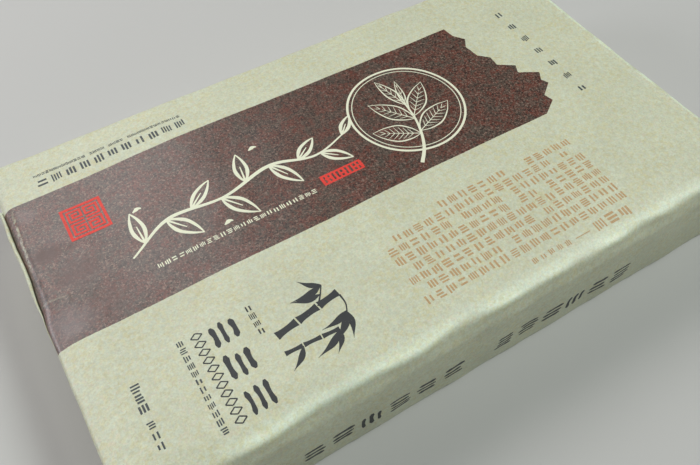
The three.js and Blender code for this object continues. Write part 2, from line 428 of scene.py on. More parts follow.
FIBRE_BREAKS = {"pitch": 0.8, "seed": 3.3, "levels": (0.5, 0.56)}
BROWN_MIX = {"clouds": 0.4, "patches": 0.7, "levels": (0.46, 0.64)}


class Nodes:
    """A short way to write a material's node tree."""

    def __init__(self, name):
        self.material = bpy.data.materials.new(name)
        self.material.use_nodes = True
        self.tree = self.material.node_tree
        self.shader = self.tree.nodes["Principled BSDF"]
        place = self.add("TexCoord", output="Object")
        inputs = {0: place, "Scale": 1 / MM}
        self.where = self.add("VectorMath", inputs, operation="SCALE")

    def add(self, kind, inputs=(), output=0, **settings):
        node = self.tree.nodes.new(f"ShaderNode{kind}")
        for key, value in settings.items():
            setattr(node, key, value)
        for key, value in dict(inputs).items():
            self.set(node.inputs[key], value)
        return node.outputs[output]

    def set(self, socket, value):
        if isinstance(value, bpy.types.NodeSocket):
            self.tree.links.new(value, socket)
        else:
            socket.default_value = value

    def math(self, operation, *values, clamp=False):
        return self.add("Math", enumerate(values), operation=operation, use_clamp=clamp)

    def times(self, product, *factors):
        for factor in factors:
            product = self.math("MULTIPLY", product, factor)
        return product

    def apart(self, a, b):
        return self.math("ABSOLUTE", self.math("SUBTRACT", a, b))

    def ramp(self, value, low, high, start=0.0, end=1.0):
        inputs = {"Value": value, "From Min": low, "From Max": high, "To Min": start, "To Max": end}
        return self.add("MapRange", inputs, interpolation_type="SMOOTHSTEP")

    def mix(self, share, a, b, blend="MIX"):
        inputs = {0: share, 6: a, 7: b}
        return self.add("Mix", inputs, output=2, data_type="RGBA", blend_type=blend)

    def noise(self, pitch, detail, roughness, distortion, seed):
        moved = {0: self.where, 1: tuple(seed * step for step in SEED_STEPS)}
        names = ("Vector", "Scale", "Detail", "Roughness", "Distortion")
        values = (self.add("VectorMath", moved), 1 / pitch, detail, roughness, distortion)
        return self.add("TexNoise", zip(names, values))

    def swing(self, name):
        """A named noise that goes above and below nothing."""
        return self.math("SUBTRACT", self.noise(*NOISES[name]), 0.5)

    def axes(self):
        return self.add("SeparateXYZ", {0: self.where}).node.outputs

    def patches(self, name):
        """Patches where a named noise is high."""
        return self.ramp(self.noise(*NOISES[name]), *PATCHES[name])


def rgba(red, green, blue):
    """A screen colour from 0 to 255, as the linear colour that a socket takes."""
    shares = [channel / 255 for channel in (red, green, blue)]
    return (*[c / 12.92 if c <= 0.04045 else ((c + 0.055) / 1.055) ** 2.4 for c in shares], 1.0)


CREAM_COOL = rgba(209, 216, 193)
CREAM_TAN = rgba(209, 206, 164)
CREAM_ROSE = rgba(217, 206, 186)
FIBRE_TAN = rgba(188, 178, 132)
FIBRE_PALE = rgba(226, 231, 213)
PRINT_PALE = rgba(250, 252, 226)
BROWN_RED = rgba(108, 62, 51)
BROWN_GREY = rgba(85, 76, 67)
BROWN_DARK = rgba(50, 37, 33)
BROWN_PALE = rgba(146, 122, 109)
# the lilac of a painted sheen and the dark red-brown of painted shade on the dark field
BROWN_PAINTED_SHEEN = rgba(126, 113, 112)
BROWN_PAINTED_SHADE = rgba(76, 44, 33)
INK_BLACK = rgba(42, 46, 49)
INK_GREY = rgba(62, 70, 74)
INK_OCHRE = rgba(194, 160, 115)
INK_RED = rgba(238, 58, 44)

FIELD_EDGES = (-12.9, 51.9)  # of the dark field, along Y
FIELD_BOW = {"depth": 0.8, "from": -95.0, "middle": -38.0, "to": 20.0}  # of the near edge, along X
FIELD_STOP = HEIGHT - 6.2  # how low it reaches on the end walls
FLAP_STOP = -1.0  # below all of the upper flap
RIDGE = [  # where it ends: Y, then X
    (-13.0, 74.5), (-8.0, 82.0), (-4.0, 81.0), (1.0, 87.5), (4.0, 86.0),
    (8.0, 88.5), (12.5, 80.5), (16.5, 82.5), (21.0, 76.0), (26.0, 76.5),
    (30.0, 72.5), (37.0, 71.5), (41.5, 74.5), (46.0, 71.0), (52.0, 70.5),
]
BLUR = {"edge": 0.06, "stop": 0.3}  # half the breadth over which the print sets in

SHEEN_AND_SHADE_PATCHES = [  # painted sheen and painted shade at the left end: middle, half size, colour, strength
    ((-120.0, -5.0), (11.0, 9.5), BROWN_PAINTED_SHEEN, 0.5),
    ((-114.0, 29.5), (9.5, 7.0), BROWN_PAINTED_SHEEN, 0.15),
    ((-105.5, -4.5), (9.0, 8.0), BROWN_PAINTED_SHADE, 0.4),
    ((-119.5, 45.5), (5.0, 4.5), BROWN_PAINTED_SHEEN, 0.35),
    ((-118.2, 25.0), (7.0, 4.0), BROWN_PAINTED_SHADE, 0.9),
    ((-111.0, 12.5), (10.0, 8.5), BROWN_PAINTED_SHADE, 0.6),
]
SHEEN_AND_SHADE_EDGE = {"from": 1.1, "full": 0.35, "swing": 0.9}  # in half sizes
FIELD_WOBBLE = 0.35
# Where it is rubbed off: a line that runs along Y, and where on it the wear starts and ends.
WEAR = {"x": -125.9, "slant": 0.05, "off": (0.8, 0.2), "low": (19.0, 25.0), "high": (53.0, 46.0)}
# A painted highlight along a crease, made as a pale line in the same way, which runs along X from the end
# wall.
CREASE_HIGHLIGHT = {"y": -11.2, "slant": -0.14, "off": (0.5, 0.1), "end": (-116.0, -118.5), "share": 0.25}
CREASE_HIGHLIGHT_SWING = 0.6
WEAR_AND_HIGHLIGHT_SHARE = 0.65
# Painted highlight along the top's sharply folded edges: the paper's colour is made paler there, from
# where to where full, in Y, X and Z.
EDGE_HIGHLIGHT = {"near": (-66.0, -73.0), "right": (124.3, 125.1), "above": (37.6, 39.4), "near_share": 0.85}
EDGE_HIGHLIGHT_LIFT = (1.29, 1.39, 1.46, 1.0)  # painted highlight: how many times brighter the paper's colour is made there

PAPER_SHADES = [(28.0, 1.0, 0.03, 16), (1.8, 2.0, 0.07, 22), (0.7, 3.0, 0.11, 3)]
BROWN_SHADES = [(5.0, 1.0, 0.1, 23), (1.7, 2.0, 0.15, 24)]  # pitch, detail, spread, seed
INK_SHADES = [(0.7, 3.0, 0.14, 14)]
SHADE = {"roughness": 0.7, "low": 0.22, "high": 0.78}
THIN_INK = {"from": 0.5, "no_gaps": 0.2, "full": 0.78, "share": 0.8}
GLOSS = 0.75
ROUGHNESS = {"paper": 0.52, "brown ink": 0.38, "other inks": 0.6}
BUMP = {"paper": 0.6, "ink": 0.5}
BUMP_HEIGHT = 0.00006  # metres
BUMP_FIBRES = 0.8
FLECKS = {"pitch": 2.2, "off": (0.17, 0.06)}


def fibre_lines(n, name):
    """Thin curly lines, broken into short fibres."""
    pitch, width, seed, strength = FIBRES[name]
    middle = n.apart(n.noise(pitch, 1.0, 0.5, FIBRE_CURL, seed), 0.5)
    gaps = n.noise(pitch * FIBRE_BREAKS["pitch"], 1.0, 0.5, 0.0, seed + FIBRE_BREAKS["seed"])
    return n.times(n.ramp(middle, width, 0.0, 0.0, strength), n.ramp(gaps, *FIBRE_BREAKS["levels"]))


def shaded(n, colour, shades):
    """The colour made lighter and darker by noises of the given pitches."""
    for pitch, detail, spread, seed in shades:
        noise = n.noise(pitch, detail, SHADE["roughness"], 0.0, seed)
        share = n.ramp(noise, SHADE["low"], SHADE["high"], 1 - spread, 1 + spread)
        grey = n.add("CombineColor", {0: share, 1: share, 2: share})
        colour = n.mix(1.0, colour, grey, "MULTIPLY")
    return colour


def paper_colour(n):
    """Mottled uncoated paper with pale and tan fibres and a few flecks."""
    tan = n.times(n.patches("tan"), n.patches("tan clouds"))
    colour = n.mix(tan, CREAM_COOL, CREAM_TAN)
    colour = n.mix(n.patches("rose"), colour, CREAM_ROSE)
    colour = shaded(n, colour, PAPER_SHADES)
    colour = n.mix(fibre_lines(n, "tan"), colour, FIBRE_TAN)
    colour = n.mix(fibre_lines(n, "pale"), colour, FIBRE_PALE)
    spot = n.add("TexVoronoi", {"Vector": n.where, "Scale": 1 / FLECKS["pitch"]}, output="Distance")
    fleck = n.times(n.ramp(spot, *FLECKS["off"]), n.patches("flecked"))
    return n.mix(fleck, colour, FIBRE_TAN)


def brown_colour(n):
    """Brown ink that sinks unevenly into the same paper."""
    patch = n.times(n.noise(*NOISES["brown patches"]), BROWN_MIX["patches"])
    both = n.math("MULTIPLY_ADD", n.noise(*NOISES["brown clouds"]), BROWN_MIX["clouds"], patch)
    share = n.ramp(both, *BROWN_MIX["levels"])
    colour = shaded(n, n.mix(share, BROWN_RED, BROWN_GREY), BROWN_SHADES)
    colour = n.mix(n.patches("dark ink"), colour, BROWN_DARK)
    colour = n.mix(n.patches("light ink"), colour, BROWN_PALE)
    return n.mix(fibre_lines(n, "brown"), colour, BROWN_PALE)


def paper_bump(n, strength):
    grain, fibres = (n.noise(*NOISES[name]) for name in ("grain", "raised fibres"))
    height = n.math("MULTIPLY_ADD", fibres, BUMP_FIBRES, grain)
    inputs = {"Strength": strength, "Distance": BUMP_HEIGHT, "Height": height}
    return n.add("Bump", inputs)


def ridge_reach(n, y):
    """How far along X the dark field reaches at a place across it."""
    (low, first), (high, last) = RIDGE[0], RIDGE[-1]
    farthest = max(reach for _, reach in RIDGE)
    share = n.math("DIVIDE", n.math("SUBTRACT", y, low), high - low, clamp=True)
    ridge = n.add("FloatCurve", {"Value": share})
    curve = ridge.node.mapping.curves[0]
    curve.points[0].location = (0, first / farthest)
    curve.points[1].location = (1, last / farthest)
    for place, reach in RIDGE[1:-1]:
        curve.points.new((place - low) / (high - low), reach / farthest)
    for point in curve.points:
        point.handle_type = "VECTOR"
    ridge.node.mapping.update()
    return n.times(ridge, farthest)


def field_mask(n, lowest):
    """1 where the dark field is printed: between its edges, above a height and short of the ridge."""
    wobble = n.times(n.swing("field edge"), FIELD_WOBBLE)
    x, y, z = (n.math("ADD", axis, wobble) for axis in n.axes())
    rises = [n.ramp(x, FIELD_BOW[end], FIELD_BOW["middle"]) for end in ("from", "to")]
    bowed = n.math("MULTIPLY_ADD", n.times(*rises), FIELD_BOW["depth"], y)
    (low, high), blur = FIELD_EDGES, BLUR["edge"]
    short = n.math("SUBTRACT", ridge_reach(n, y), x)
    return n.times(
        n.ramp(bowed, low - blur, low + blur),
        n.ramp(y, high + blur, high - blur),
        n.ramp(short, -blur, blur),
        n.ramp(z, lowest - BLUR["stop"], lowest + BLUR["stop"]),
    )


def painted_sheen_and_shade(n, colour):
    """The dark field's colour with patches of painted sheen and painted shade at the left end."""
    wobble = n.swing("sheen and shade edge")
    for middle, half_size, tint, strength in SHEEN_AND_SHADE_PATCHES:
        off = n.add("VectorMath", {0: n.where, 1: (*middle, 0.0)}, operation="SUBTRACT")
        shares = {0: off, 1: (*(1 / half for half in half_size), 0.0)}
        scaled = n.add("VectorMath", shares, operation="MULTIPLY")
        away = n.add("VectorMath", {0: scaled}, output=1, operation="LENGTH")
        away = n.math("MULTIPLY_ADD", wobble, SHEEN_AND_SHADE_EDGE["swing"], away)
        colour = n.mix(n.ramp(away, SHEEN_AND_SHADE_EDGE["from"], SHEEN_AND_SHADE_EDGE["full"], 0.0, strength), colour, tint)
    return colour


def wear_and_highlight_mask(n):
    """Where the print has rubbed off along the edge of the left end, and where a highlight is painted
    along a crease of the left end.
    """
    x, y, _ = n.axes()
    swing = n.swing("wear edge")
    line = n.math("MULTIPLY_ADD", y, WEAR["slant"], WEAR["x"])
    off = n.ramp(n.apart(n.math("ADD", x, swing), line), *WEAR["off"])
    edge = n.times(n.patches("worn"), off, n.ramp(y, *WEAR["low"]), n.ramp(y, *WEAR["high"]))
    # the painted highlight along the crease
    line = n.math("MULTIPLY_ADD", x, CREASE_HIGHLIGHT["slant"], CREASE_HIGHLIGHT["y"])
    swung = n.math("MULTIPLY_ADD", swing, CREASE_HIGHLIGHT_SWING, y)
    off = n.ramp(n.apart(swung, line), *CREASE_HIGHLIGHT["off"])
    crease = n.times(off, n.ramp(x, *CREASE_HIGHLIGHT["end"]), CREASE_HIGHLIGHT["share"])
    return n.math("MAXIMUM", edge, crease)


def edge_highlight_mask(n):
    """Where a highlight is painted: paler paper along the top's near and right edges."""
    x, y, z = n.axes()
    near = n.times(n.ramp(y, *EDGE_HIGHLIGHT["near"]), EDGE_HIGHLIGHT["near_share"])
    right = n.times(n.ramp(x, *EDGE_HIGHLIGHT["right"]), n.patches("edge highlight"))
    return n.times(n.math("MAXIMUM", near, right), n.ramp(z, *EDGE_HIGHLIGHT["above"]))


def finish(n, colour, roughness, normal):
    """The material, once its surface is set."""
    inputs = n.shader.inputs
    n.set(inputs["Base Color"], colour)
    n.set(inputs["Roughness"], roughness)
    n.set(inputs["Normal"], normal)
    n.set(inputs["Specular IOR Level"], GLOSS)
    return n.material


def wrap_material(name, lowest):
    """The paper with its dark printed field, which stops below a given height on the end walls."""
    n = Nodes(name)
    # the print is made paler where it is worn and where a highlight is painted along the crease
    worn = n.times(wear_and_highlight_mask(n), WEAR_AND_HIGHLIGHT_SHARE)
    printed = n.times(field_mask(n, lowest), n.math("SUBTRACT", 1.0, worn))
    # the paper's colour is lifted along the near and right edges as a painted highlight
    paper = n.mix(edge_highlight_mask(n), paper_colour(n), EDGE_HIGHLIGHT_LIFT, "MULTIPLY")
    # the dark field carries patches of painted sheen and painted shade at the left end
    colour = n.mix(printed, paper, painted_sheen_and_shade(n, brown_colour(n)))
    roughness = n.ramp(printed, 0.0, 1.0, ROUGHNESS["paper"], ROUGHNESS["brown ink"])
    return finish(n, colour, roughness, paper_bump(n, BUMP["paper"]))


def plain_paper(name, lift):
    """The bare paper, or with some lift the paper that shows through the dark field as its print."""
    n = Nodes(name)
    colour = n.mix(lift, paper_colour(n), PRINT_PALE)
    return finish(n, colour, ROUGHNESS["paper"], paper_bump(n, BUMP["paper"]))


def ink_material(name, ink, under, gaps):
    """Printed ink with grain, thin where the paper's surface stands away from the plate."""
    n = Nodes(name)
    start = THIN_INK["from"] + THIN_INK["no_gaps"] * (1 - gaps)
    thin = n.ramp(n.noise(*NOISES["thin ink"]), start, THIN_INK["full"], 0.0, THIN_INK["share"])
    colour = n.mix(thin, shaded(n, ink, INK_SHADES), under(n))
    return finish(n, colour, ROUGHNESS["other inks"], paper_bump(n, BUMP["ink"]))


# ------------ print: flat shapes
INK_HEIGHT, INK_ROOT = 0.045, 0.06
FAR_OFF = 200.0  # from where rays look for the wrap
SIGN_BAR = {"breadth": (0.5, 0.62), "reach": (0.55, 1.0)}  # of a sign's bars, in shares of its size
BAR_STEP, STROKE_STEP = 2.5, 0.8  # between the points of a line
VEIN_SPAN = (0.16, 0.74)  # shares of a leaf's length between which its veins start
LEVEL_SHARE = 0.75  # of the small signs, the others have upright bars
# How broad strokes are along their length, as shares of their full breadth.
LEAF_STROKE = np.array([0.1, 0.55, 0.9, 1.0, 0.85, 0.6, 0.34, 0.12, 0.02])
CULM_STROKE = np.array([1.25, 1.0, 0.9, 0.88, 0.9, 1.0, 1.2])
BRUSH_STROKE = np.array([0.35, 1.1, 0.85, 0.8, 0.9, 1.15, 0.45])
LEAF_BOW = [(0.18, 0.62), (0.45, 1.0), (0.75, 0.66)]  # a leaf's edge: shares of its length and half width


def curve_through(points, step):
    """A smooth line through the given points, in steps of about the given length."""
    points = np.asarray(points, float)
    if len(points) == 2:
        count = max(int(np.linalg.norm(points[1] - points[0]) / step), 1) + 1
        return points[0] + np.linspace(0, 1, count)[:, None] * (points[1] - points[0])
    padded = np.vstack([2 * points[0] - points[1], points, 2 * points[-1] - points[-2]])
    line = []
    for a, b, c, d in zip(padded, padded[1:], padded[2:], padded[3:]):
        count = max(int(np.linalg.norm(c - b) / step), 1)
        t = np.linspace(0, 1, count, endpoint=False)[:, None]
        square, cube = 2 * a - 5 * b + 4 * c - d, 3 * b - a - 3 * c + d
        line.append(0.5 * (2 * b + (c - a) * t + square * t**2 + cube * t**3))
    return np.vstack([*line, points[-1:]])


class Shapes:
    """Flat shapes on one face of the pack, gathered as points and faces."""

    def __init__(self):
        self.points, self.faces = [], []

    def ribbon(self, line, widths, columns=1, closed=False):
        """A band along a line. Widths are full widths, spread evenly over its length."""
        line = np.asarray(line, float)
        ahead = np.roll(line, -1, axis=0) - np.roll(line, 1, axis=0)
        if not closed:
            ahead[0], ahead[-1] = line[1] - line[0], line[-1] - line[-2]
        aside = np.stack([-ahead[:, 1], ahead[:, 0]], axis=1)
        aside /= np.linalg.norm(aside, axis=1, keepdims=True)
        shares = np.linspace(0, 1, len(line))
        half = np.interp(shares, np.linspace(0, 1, len(widths)), widths)[:, None] / 2
        start = len(self.points)
        rows = [line + aside * half * side for side in np.linspace(-1, 1, columns + 1)]
        self.points.extend(np.stack(rows, axis=1).reshape(-1, 2))
        wide = columns + 1
        count = len(line) if closed else len(line) - 1
        for i in range(count):
            a, b = start + i * wide, start + (i + 1) % len(line) * wide
            self.faces += [(a + c, b + c, b + c + 1, a + c + 1) for c in range(columns)]

    def stroke(self, points, widths, step=STROKE_STEP, columns=1):
        self.ribbon(curve_through(points, step), widths, columns)

    def bar(self, start, end, width):
        self.ribbon(curve_through([start, end], BAR_STEP), [width, width])

    def ring(self, centre, radius, width, count=120):
        turn = np.linspace(0, 2 * math.pi, count, endpoint=False)
        line = np.stack([np.cos(turn), np.sin(turn)], axis=1) * radius + centre
        self.ribbon(line, [width, width], 1, closed=True)

    def bars(self, centre, size, draw, across=True):
        """A block of short level bars of uneven length, as large as one printed sign."""
        count = draw.choice([2, 3, 3, 4])
        width = size * draw.uniform(*SIGN_BAR["breadth"]) / max(count, 2.6)
        for row in range(count):
            offset = ((row + 0.5) / count - 0.5) * size
            low, high = (side * draw.uniform(*SIGN_BAR["reach"]) * size for side in (-0.5, 0.5))
            ends = [(offset, low), (offset, high)] if across else [(low, offset), (high, offset)]
            self.bar(*[(centre[0] + dx, centre[1] + dy) for dx, dy in ends], width)


def lay_on(tree, shapes, side):
    """Where flat points come to lie on the wrap, and which way it faces there."""
    aim = Vector((0, 0, -1) if side == "top" else (0, 1, 0))
    starts = [(u, v, FAR_OFF) if side == "top" else (u, -FAR_OFF, v) for u, v in shapes.points]
    hits = [tree.ray_cast(Vector(start), aim) for start in starts]
    return np.array([hit[0] for hit in hits]), np.array([hit[1] for hit in hits])


def print_on(name, tree, drawing, material, side):
    """A drawing as closed slabs of ink, with their roots sunk into the paper."""
    shapes = Shapes()
    drawing(shapes)
    placed, normals = lay_on(tree, shapes, side)
    count = len(placed)
    points = np.vstack([placed + normals * INK_HEIGHT, placed - normals * INK_ROOT])
    faces = np.array(shapes.faces)
    corners = placed[faces[:, :3]]
    facing = np.cross(corners[:, 1] - corners[:, 0], corners[:, 2] - corners[:, 0])
    flip = (facing * normals[faces[:, 0]]).sum(axis=1) < 0
    faces[flip] = faces[flip, ::-1]
    edges = {(f[i], f[(i + 1) % 4]) for f in faces.tolist() for i in range(4)}
    walls = [(a, a + count, b + count, b) for a, b in edges if (b, a) not in edges]
    everything = faces.tolist() + (faces[:, ::-1] + count).tolist() + sorted(walls)
    make_piece(name, points, everything, material, smooth=False)


def along(base, turn, run, aside=0.0):
    """A point at a distance along a direction and to its side."""
    c, s = math.cos(turn), math.sin(turn)
    return (base[0] + run * c - aside * s, base[1] + run * s + aside * c)


def leaf_lines(shapes, base, turn, length, breadth, line, veins, rib):
    """A tea leaf drawn in lines: two curved edges that meet at the tip, a midrib and side veins."""
    tip = along(base, turn, length)
    for side in (-1, 1):
        edge = [along(base, turn, length * run, side * breadth / 2 * bow) for run, bow in LEAF_BOW]
        shapes.stroke([base, *edge, tip], [line * 0.5, line * 1.3, line, line * 0.35])
        for vein in range(veins):
            run = mix(*VEIN_SPAN, vein / max(veins - 1, 1))
            bow = math.sin(math.pi * min(run * 1.15 + 0.08, 0.95)) ** 0.8 * 0.42
            start = along(base, turn, length * run)
            middle = along(base, turn, length * (run + 0.07), side * breadth * bow * 0.55)
            end = along(base, turn, length * (run + 0.12), side * breadth * bow * 0.92)
            shapes.stroke([start, middle, end], [line * 0.55, line * 0.5, line * 0.2])
    shapes.stroke([base, along(base, turn, length * rib)], [line * 0.8, line * 0.3])


def medallion(shapes):
    """A double ring with a tea sprig that grows into it from below."""
    for radius, width in ((23.8, 0.95), (22.0, 0.35)):
        shapes.ring((28.0, 19.0), radius, width)
    stem = [(16.5, -9.0), (21.5, -3.0), (25.5, 5.0), (27.8, 13.0), (28.8, 21.0)]
    shapes.stroke(stem, [1.5, 1.2, 0.9, 0.7])
    leaves = [  # where it grows from, turn, length, breadth, line, veins, rib
        ((25.0, 4.0), 150, 19.0, 8.6, 0.5, 7, 0.7),
        ((25.6, 5.2), 24, 21.0, 8.6, 0.5, 7, 0.7),
        ((27.6, 12.0), 128, 20.0, 7.6, 0.5, 6, 0.7),
        ((27.9, 13.4), 48, 20.5, 7.6, 0.5, 6, 0.7),
        ((28.7, 20.4), 101, 18.5, 4.6, 0.5, 5, 0.9),
        ((28.8, 20.0), 76, 15.0, 2.6, 0.4, 3, 0.8),
    ]
    for base, turn, *leaf in leaves:
        leaf_lines(shapes, base, math.radians(turn), *leaf)


def branch(shapes):
    """A branch with open leaves, as if drawn with a loaded brush."""
    stem = [(-93.0, 8.0), (-76.0, 17.0), (-55.0, 15.0), (-34.0, 20.0), (-16.0, 15.5), (2.0, 21.0)]
    shapes.stroke(stem, [0.7, 1.5, 1.1, 1.6, 1.0, 0.5], step=1.0)
    line = curve_through(stem, 1.0)
    twigs = [  # share along the stem, turn from it, length, breadth
        (0.08, 58, 15.0, 4.4),
        (0.19, -64, 15.5, 5.0),
        (0.30, 50, 14.0, 4.0),
        (0.41, -55, 16.0, 5.2),
        (0.53, 62, 14.5, 4.6),
        (0.64, -58, 15.5, 4.4),
        (0.75, 55, 12.5, 4.0),
        (0.85, -50, 13.0, 4.2),
        (0.97, 24, 11.0, 3.2),
    ]
    for share, turn, length, breadth in twigs:
        at = int(share * (len(line) - 2))
        ahead = math.atan2(*(line[at + 1] - line[at])[::-1])
        leaf_lines(shapes, line[at], ahead + math.radians(turn), length, breadth, 1.15, 0, 0.55)
    for x, y in ((-86.0, 26.5), (-60.0, 3.5), (-37.0, 31.0)):
        shapes.stroke([(x, y), (x + 2.2, y + 0.8), (x + 3.4, y + 0.2)], [0.5, 1.8, 0.4], step=0.5)


def pale_row(shapes):
    """The row of small signs under the branch."""
    sign_rows(shapes, (-86.0, -25.5), (0.2, 0.2), 24, 1, 2.2, 11)


FRET = [(0, 0), (1, 0), (1, 1), (0, 1), (0, 0.33), (0.67, 0.33), (0.67, 0.67), (0.34, 0.67)]


def fret(shapes, centre, size, line, flips):
    """A square spiral, as in a traditional fret border, that grows out from the middle of four."""
    places = [(centre[0] + flips[0] * u * size, centre[1] + flips[1] * v * size) for u, v in FRET]
    for (x0, y0), (x1, y1) in zip(places, places[1:]):
        reach = line / 2 / math.hypot(x1 - x0, y1 - y0)
        dx, dy = (x1 - x0) * reach, (y1 - y0) * reach
        shapes.bar((x0 - dx, y0 - dy), (x1 + dx, y1 + dy), line)


def red_fret(shapes):
    """A square of four frets in a frame."""
    centre, half, line = (-101.3, 33.5), 7.0, 1.1
    for side in (-1, 1):
        level = centre[1] + side * half
        shapes.bar((centre[0] - half - line / 2, level), (centre[0] + half + line / 2, level), line)
        across = centre[0] + side * half
        shapes.bar((across, centre[1] - half + line / 2), (across, centre[1] + half - line / 2), line)
        for other in (-1, 1):
            inner = (centre[0] + side * 0.75, centre[1] + other * 0.75)
            fret(shapes, inner, 4.6, 0.9, (side, other))


def red_oblong(shapes):
    """A small frame of bars and short strokes."""
    draw = np.random.default_rng(5)
    low, high, middle = -20.6, -3.2, 2.7
    for side in (-1, 1):
        level = middle + 2.0 * side
        shapes.stroke([(low, level), (high, level)], [0.9, 0.7])
    for step in range(10):
        x = mix(low + 0.5, high - 0.5, step / 9)
        shapes.bar((x, middle - 1.6), (x, middle + 1.6), draw.uniform(0.8, 1.25))
    for x0 in (-17.6, -11.8, -6.0):
        shapes.bar((x0 - 1.6, middle + draw.uniform(-0.6, 0.6)), (x0 + 1.6, middle), 0.8)


def sign_rows(shapes, x_range, y_range, columns, rows, size, seed, skip=0.0):
    """Rows of bar blocks, each as large as a printed sign."""
    draw = np.random.default_rng(seed)
    for x in np.linspace(*x_range, columns):
        for y in np.linspace(*y_range, rows):
            if draw.random() >= skip:
                shapes.bars((x, y), size, draw, across=draw.random() < LEVEL_SHARE)


def brush_leaf(shapes, base, turn, length, breadth):
    """A solid leaf in one stroke, that narrows to a long point."""
    turn = math.radians(turn)
    middle = along(base, turn, length * 0.45, breadth * 0.35)
    shapes.stroke([base, middle, along(base, turn, length)], breadth * LEAF_STROKE, 0.7, columns=3)


def culm(shapes, foot, top, segments, width):
    """A bamboo stalk in segments, each a little wider at its two ends."""
    foot, top = np.array(foot), np.array(top)
    for k in range(segments):
        start = mix(foot, top, (k + 0.035) / segments)
        end = mix(foot, top, (k + 0.965) / segments)
        shapes.stroke([start, mix(start, end, 0.5), end], width * CULM_STROKE, 0.6, columns=2)


def bamboo(shapes):
    """Two bamboo stalks in ink with hanging leaves, and a small column of signs below them."""
    culm(shapes, (-65.5, -45.6), (-40.0, -41.4), 3, 2.6)
    culm(shapes, (-66.0, -52.4), (-46.5, -53.6), 3, 1.5)
    twigs = [
        [(-48.4, -42.8), (-45.6, -39.2), (-43.6, -36.2)],
        [(-40.2, -42.6), (-40.2, -46.4), (-41.4, -49.4)],
    ]
    for twig in twigs:
        shapes.stroke(twig, [0.7, 0.5, 0.4], 0.6)
    leaves = [  # where it grows from, turn, length, breadth
        ((-45.6, -39.2), 168, 10.5, 2.4),
        ((-43.6, -36.2), 140, 8.5, 2.1),
        ((-43.6, -36.2), 184, 12.0, 2.6),
        ((-41.2, -49.0), 192, 11.0, 2.5),
        ((-41.4, -49.4), 221, 12.5, 2.7),
        ((-41.4, -49.4), 252, 10.0, 2.2),
        ((-46.8, -54.0), 205, 12.0, 2.5),
        ((-46.8, -54.0), 236, 8.5, 2.0),
        ((-59.6, -53.0), 222, 9.0, 2.1),
    ]
    for base, turn, length, breadth in leaves:
        brush_leaf(shapes, base, turn, length, breadth)
    draw = np.random.default_rng(74)
    for y in (-31.6, -34.8, -38.0, -41.2):
        shapes.bars((-68.4, y), 2.4, draw)


def brush_bars(shapes, centre, depth, breadth, draw, across, count=3):
    """Thick bars with soft ends, one above the other, as large as one sign in brush writing."""
    for row in range(count):
        level = ((row + 0.5) / count - 0.5) * depth
        low, high = (side * breadth * draw.uniform(0.66, 1.0) for side in (-0.5, 0.5))
        bow = draw.uniform(-0.05, 0.05) * depth
        path = [(level, low), (level + bow, (low + high) / 2), (level, high)]
        places = [(centre[0] + (a if across else b), centre[1] + (b if across else a)) for a, b in path]
        width = depth / count * draw.uniform(0.45, 0.62)
        shapes.stroke(places, width * BRUSH_STROKE, 0.5, columns=2)


def ink_signs(shapes):
    """Three large signs of brush bars and a row of open lozenges below them."""
    draw = np.random.default_rng(81)
    for y in (-35.0, -47.6, -60.2):
        brush_bars(shapes, (-78.9, y), 10.2, 10.2, draw, across=True)
    for y in np.linspace(-31.5, -64.0, 11):
        corners = [(-89.0, y), (-87.0, y - 1.25), (-85.0, y), (-87.0, y + 1.25)]
        for (x0, y0), (x1, y1) in zip(corners, corners[1:] + corners[:1]):
            shapes.bar((x0, y0), (x1, y1), 0.42)


def grey_rows(shapes):
    """The small dark rows: along the far edge, under the lozenges, by the left end and at the right."""
    sign_rows(shapes, (-109.5, -53.8), (58.0, 58.0), 11, 1, 4.0, 91)
    sign_rows(shapes, (-111.0, -53.0), (62.3, 62.3), 38, 1, 1.5, 92, skip=0.1)
    sign_rows(shapes, (-92.6, -92.6), (-31.0, -64.6), 1, 12, 2.4, 93)
    sign_rows(shapes, (-110.4, -110.4), (-38.0, -45.5), 1, 3, 3.4, 94)
    sign_rows(shapes, (-110.4, -110.4), (-51.5, -59.0), 1, 3, 2.7, 95)
    sign_rows(shapes, (97.8, 97.8), (47.0, -8.5), 1, 7, 3.6, 96)


def ochre_block(shapes):
    """The block of eight rows of signs, its heading and the small line beside that."""
    draw = np.random.default_rng(101)
    corner, pitch, columns = (-15.6, -28.9), (4.5, -4.37), 20
    row_starts = (6, 1, 0, 0, 1, 0, 1, 0)
    for row, first in enumerate(row_starts):
        for column in range(first, columns):
            if draw.random() < 0.07:
                continue
            place = (corner[0] + column * pitch[0], corner[1] + row * pitch[1])
            shapes.bars(place, 3.6, draw, across=draw.random() < 0.65)
    for column in range(3):
        shapes.bars((66.2 - column * 5.9, -65.2), 4.8, draw, across=column != 1)
    for column in range(5):
        shapes.bars((24.6 + column * 3.7, -65.4), 2.3, draw)
    shapes.bar((43.0, -65.5), (49.5, -65.5), 0.3)


def side_signs(shapes):
    """Two groups of brush signs on the near wall."""
    draw = np.random.default_rng(111)
    first, pitch, height, count, gap = -70.0, 11.2, 14.7, 13, 6
    for slot in range(count):
        if slot == gap:
            continue
        place = (first + slot * pitch, height)
        if slot % 4 == 2:
            brush_bars(shapes, place, 9.0, 8.4, draw, across=True)
        else:
            brush_bars(shapes, place, 8.8, 9.2, draw, across=False, count=draw.choice([3, 4]))


# ------------ build
points, quads = wrap_points()
unsettled = BVHTree.FromPolygons(points.tolist(), quads.tolist())
flap_index, flap_quads = lattice_shell(LIP_STEPS, *FLAP_STEPS)
flap_pairs = [end_flaps(unsettled, flap_index, end) for end in ENDS]
everything = np.vstack([points, *(flap for pair in flap_pairs for flap in pair)])
low, high = everything.min(axis=0), everything.max(axis=0)
shift = np.array([*((low + high) / 2)[:2], low[2]])
points = points - shift

